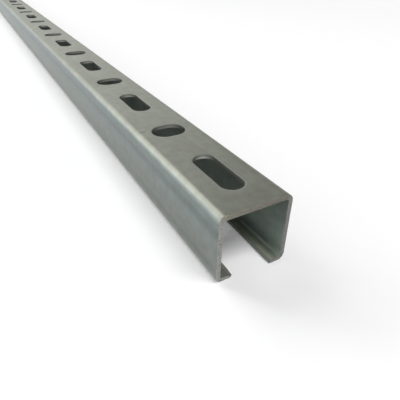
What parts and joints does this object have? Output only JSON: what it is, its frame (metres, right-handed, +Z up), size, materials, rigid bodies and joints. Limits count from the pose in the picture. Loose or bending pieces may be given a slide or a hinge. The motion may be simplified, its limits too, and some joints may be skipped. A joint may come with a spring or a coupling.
{
  "type": "slotted strut channel",
  "caption": "Plain-lipped C channel for mounting rails: a straight bar rolled from one galvanised strip, with long and cross slots by turns along its web.",
  "frame": {"origin": "middle of the bar's length and width, on the plane under its two lips", "axes": "+X along the bar, towards the end that the first slot is measured from; +Y across it; +Z up, from the lips to the slotted web"},
  "size_m": [1, 0.028, 0.028],
  "materials": {
    "galvanised_steel": "strip galvanised before rolling: satin zinc grey with faint clouds and lengthwise roll streaks; bare steel at the cut ends, slot walls and lip edges"
  },
  "bodies": {
    "root": {"strut_channel": "galvanised_steel"}
  },
  "joints": []
}
